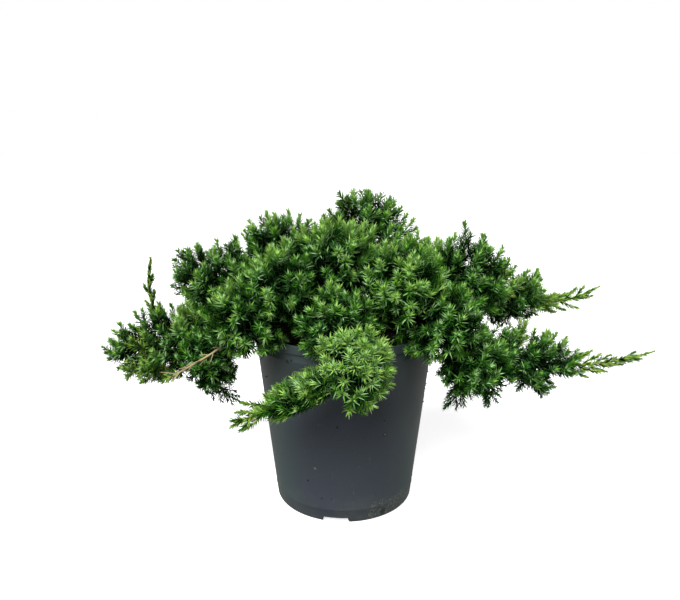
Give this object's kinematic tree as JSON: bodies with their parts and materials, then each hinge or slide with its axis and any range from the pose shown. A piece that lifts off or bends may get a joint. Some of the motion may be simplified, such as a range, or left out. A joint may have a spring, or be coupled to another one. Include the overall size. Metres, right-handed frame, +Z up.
{
  "type": "potted creeping juniper",
  "caption": "Low spreading juniper in a tapering nursery pot: overlapping masses of short needles, long side shoots and a bough that hangs over the front rim.",
  "frame": {"origin": "middle of the pot's flat underside, on the surface it stands on", "axes": "+Z up the pot's axis, +X towards the longest bough, and -Y is the front, where a bough hangs over the rim"},
  "size_m": [0.4876, 0.3558, 0.2873],
  "materials": {
    "pot": "moulded dark grey plastic with a soft sheen and scuffs",
    "soil": "moist peat and bark potting mix",
    "bark": "thin flaking brown bark",
    "foliage_dark": "shaded older needles, deep green",
    "foliage_mid": "full-grown needles, mid green",
    "foliage_fresh": "younger needles, fresh green"
  },
  "bodies": {
    "root": {"pot": "pot", "soil": "soil", "main_stem": "bark", "bough_right_low": "bark", "bough_right_hanging": "bark", "bough_right_high": "bark", "bough_right_shoulder": "bark", "bough_right_front": "bark", "bough_crown_top": "bark", "bough_crown_left": "bark", "bough_crown_front": "bark", "bough_left_shoulder": "bark", "bough_left_low": "bark", "bough_left_hanging": "bark", "bough_left_front": "bark", "bough_centre_front_left": "bark", "bough_centre_front_right": "bark", "bough_front_low": "bark", "bough_front_bough": "bark", "bough_front_left_spray": "bark", "bough_back_left_low": "bark", "bough_back_low": "bark", "bough_back_right_low": "bark", "bough_back_left": "bark", "bough_back_right": "bark", "bough_crown_back": "bark", "right_low": "foliage_mid", "right_hanging": "foliage_dark", "right_high": "foliage_mid", "right_shoulder": "foliage_mid", "right_front": "foliage_mid", "crown_top": "foliage_mid", "crown_left": "foliage_mid", "crown_front": "foliage_fresh", "left_shoulder": "foliage_mid", "left_low": "foliage_mid", "left_hanging": "foliage_dark", "left_front": "foliage_mid", "centre_front_left": "foliage_fresh", "centre_front_right": "foliage_fresh", "front_low": "foliage_mid", "front_bough": "foliage_fresh", "front_left_spray": "foliage_fresh", "back_left_low": "foliage_mid", "back_low": "foliage_mid", "back_right_low": "foliage_mid", "back_left": "foliage_mid", "back_right": "foliage_mid", "crown_back": "foliage_mid"}
  },
  "joints": []
}
